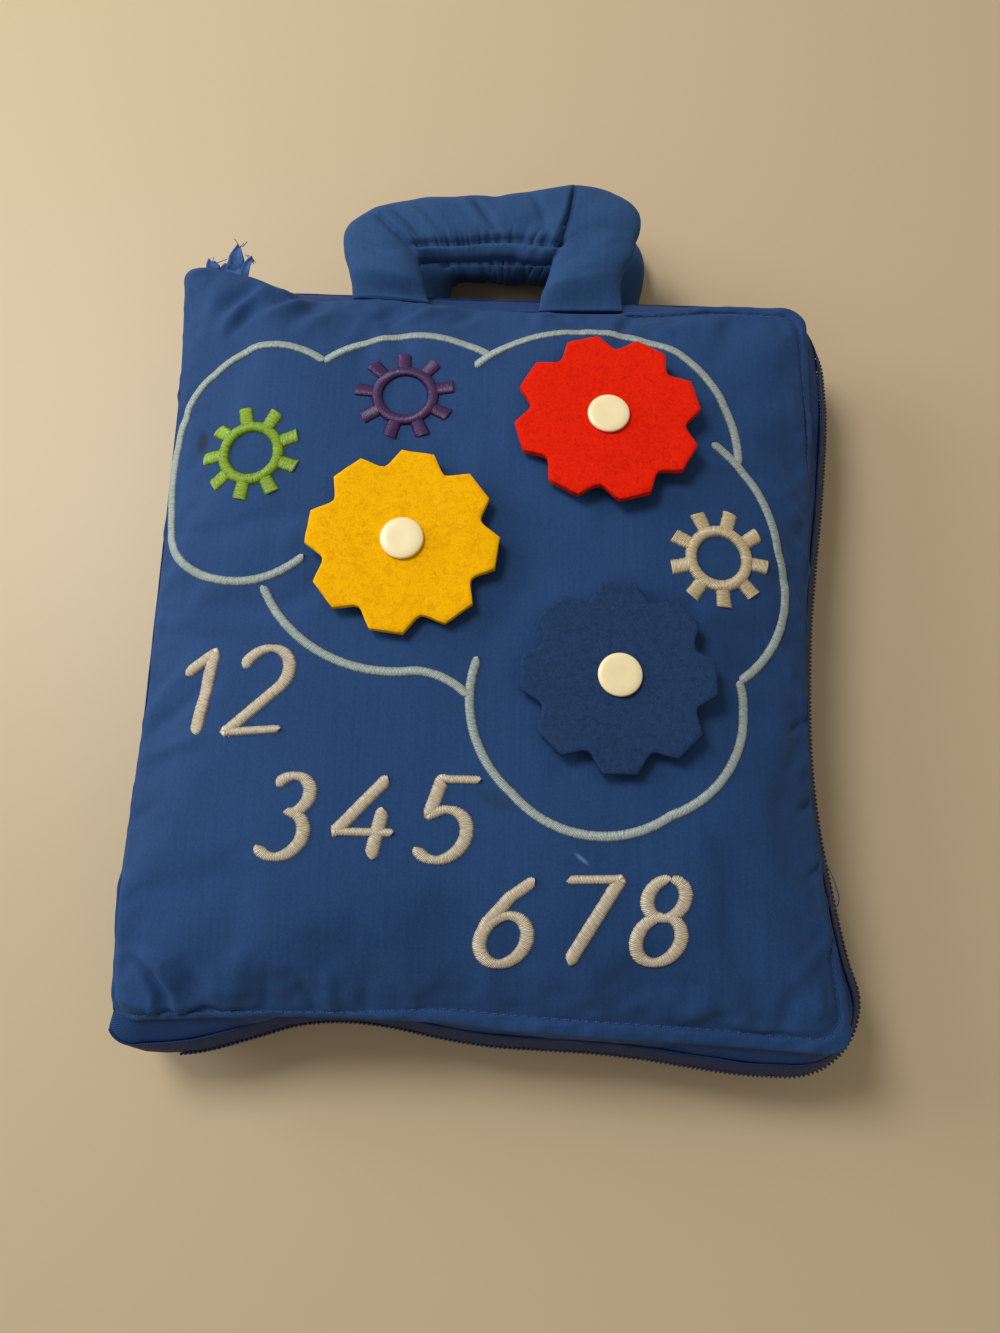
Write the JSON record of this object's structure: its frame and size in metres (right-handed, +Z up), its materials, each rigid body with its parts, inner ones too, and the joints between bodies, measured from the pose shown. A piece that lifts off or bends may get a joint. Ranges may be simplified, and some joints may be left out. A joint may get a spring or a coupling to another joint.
{
  "type": "quiet book",
  "caption": "Padded cloth activity book that zips shut on three sides, with sewn carrying handles and felt cogs that press on and spin.",
  "frame": {"origin": "centre of the flat rest face under the back cover", "axes": "+X from the spine to the opening edge, +Y towards the carrying handles, +Z up out of the front cover"},
  "size_m": [0.2441, 0.3341, 0.0652],
  "materials": {
    "cover_cloth": "woven cotton, royal blue, padded and sewn",
    "handle_cloth": "woven cotton, royal blue, padded",
    "page_cloth": "woven cotton, mid blue, padded",
    "zip_tape": "woven polyester zip tape, dark blue",
    "zip_coil": "nylon coil, dark blue",
    "slider_metal": "blue painted zinc",
    "frayed_cotton": "frayed blue cotton",
    "snap_plastic": "cream plastic",
    "felt_yellow": "yellow wool felt",
    "felt_red": "red wool felt",
    "felt_blue": "blue wool felt"
  },
  "bodies": {
    "back": {"back_cover": "cover_cloth", "back_wall": "cover_cloth", "back_zip_tape": "zip_tape", "back_zip_teeth": "zip_coil", "back_top_stop": "zip_coil", "bottom_stop": "zip_coil"},
    "spine": {"spine_panel": "cover_cloth"},
    "front": {"front_cover": "cover_cloth", "front_wall": "cover_cloth", "front_zip_tape": "zip_tape", "front_zip_teeth": "zip_coil", "front_top_stop": "zip_coil", "frayed_tape_end": "frayed_cotton", "yellow_snap_stud": "snap_plastic", "red_snap_stud": "snap_plastic", "blue_snap_stud": "snap_plastic"},
    "page_1": {"page_1": "page_cloth"},
    "page_2": {"page_2": "page_cloth"},
    "page_3": {"page_3": "page_cloth"},
    "page_4": {"page_4": "page_cloth"},
    "page_5": {"page_5": "page_cloth"},
    "yellow_snap": {"yellow_snap_cap": "snap_plastic", "yellow_snap_socket": "snap_plastic"},
    "yellow_cog": {"yellow_cog": "felt_yellow"},
    "red_snap": {"red_snap_cap": "snap_plastic", "red_snap_socket": "snap_plastic"},
    "red_cog": {"red_cog": "felt_red"},
    "blue_snap": {"blue_snap_cap": "snap_plastic", "blue_snap_socket": "snap_plastic"},
    "blue_cog": {"blue_cog": "felt_blue"},
    "front_handle": {"front_handle": "handle_cloth"},
    "back_handle": {"back_handle": "handle_cloth"},
    "slider": {"zip_slider": "slider_metal"},
    "pull": {"zip_pull": "slider_metal"}
  },
  "joints": [
    {"name": "spine_fold", "type": "hinge", "parent": "back", "child": "spine", "pos_m": [-0.114, 0, 0.008], "axis": [0, -1, 0], "range_deg": [0, 82]},
    {"name": "cover_fold", "type": "hinge", "parent": "spine", "child": "front", "pos_m": [-0.114, 0, 0.0405], "axis": [0, -1, 0], "range_deg": [0, 82]},
    {"name": "page_1_turn", "type": "hinge", "parent": "spine", "child": "page_1", "pos_m": [-0.1135, 0, 0.03265], "axis": [0, -1, 0], "range_deg": [0, 45.6]},
    {"name": "page_2_turn", "type": "hinge", "parent": "spine", "child": "page_2", "pos_m": [-0.1135, 0, 0.02845], "axis": [0, -1, 0], "range_deg": [0, 21]},
    {"name": "page_3_turn", "type": "hinge", "parent": "spine", "child": "page_3", "pos_m": [-0.1135, 0, 0.02425], "axis": [0, -1, 0], "range_deg": [-4.6, 0]},
    {"name": "page_4_turn", "type": "hinge", "parent": "spine", "child": "page_4", "pos_m": [-0.1135, 0, 0.02005], "axis": [0, -1, 0], "range_deg": [-29.2, 0]},
    {"name": "page_5_turn", "type": "hinge", "parent": "spine", "child": "page_5", "pos_m": [-0.1135, 0, 0.01585], "axis": [0, -1, 0], "range_deg": [-53.8, 0]},
    {"name": "yellow_snap_off", "type": "slide", "parent": "front", "child": "yellow_snap", "axis": [-0.0122, 0, 0.9999], "range_m": [0, 0.006]},
    {"name": "yellow_spin", "type": "hinge", "parent": "yellow_snap", "child": "yellow_cog", "pos_m": [-0.02793, 0.0256, 0.05659], "axis": [-0.0122, 0, 0.9999], "continuous": true},
    {"name": "red_snap_off", "type": "slide", "parent": "front", "child": "red_snap", "axis": [-0.0021, 0.0704, 0.9975], "range_m": [0, 0.006]},
    {"name": "red_spin", "type": "hinge", "parent": "red_snap", "child": "red_cog", "pos_m": [0.0399, 0.0727, 0.05533], "axis": [-0.0021, 0.0704, 0.9975], "continuous": true},
    {"name": "blue_snap_off", "type": "slide", "parent": "front", "child": "blue_snap", "axis": [0.0329, 0.0015, 0.9995], "range_m": [0, 0.006]},
    {"name": "blue_spin", "type": "hinge", "parent": "blue_snap", "child": "blue_cog", "pos_m": [0.04298, -0.01818, 0.05632], "axis": [0.0329, 0.0015, 0.9995], "continuous": true},
    {"name": "front_handle_fold", "type": "hinge", "parent": "front", "child": "front_handle", "pos_m": [-0.003, 0.12985, 0.0417], "axis": [1, 0, 0], "range_deg": [0, 100]},
    {"name": "back_handle_fold", "type": "hinge", "parent": "back", "child": "back_handle", "pos_m": [0.007, 0.12697, 0.0092], "axis": [1, 0, 0], "range_deg": [0, 8]},
    {"name": "slider_run", "type": "slide", "parent": "back", "child": "slider", "axis": [1, 0, 0], "range_m": [0, 0.172]},
    {"name": "pull_turn", "type": "hinge", "parent": "slider", "child": "pull", "pos_m": [-0.078, 0.1381, 0.02425], "axis": [0, 0, -1], "range_deg": [0, 170]}
  ],
  "couplings": [
    {"joint": "cover_fold", "follows": "spine_fold", "ratio": 1},
    {"joint": "page_1_turn", "follows": "spine_fold", "ratio": 0.55},
    {"joint": "page_2_turn", "follows": "spine_fold", "ratio": 0.25},
    {"joint": "page_3_turn", "follows": "spine_fold", "ratio": -0.05},
    {"joint": "page_4_turn", "follows": "spine_fold", "ratio": -0.35},
    {"joint": "page_5_turn", "follows": "spine_fold", "ratio": -0.65}
  ]
}
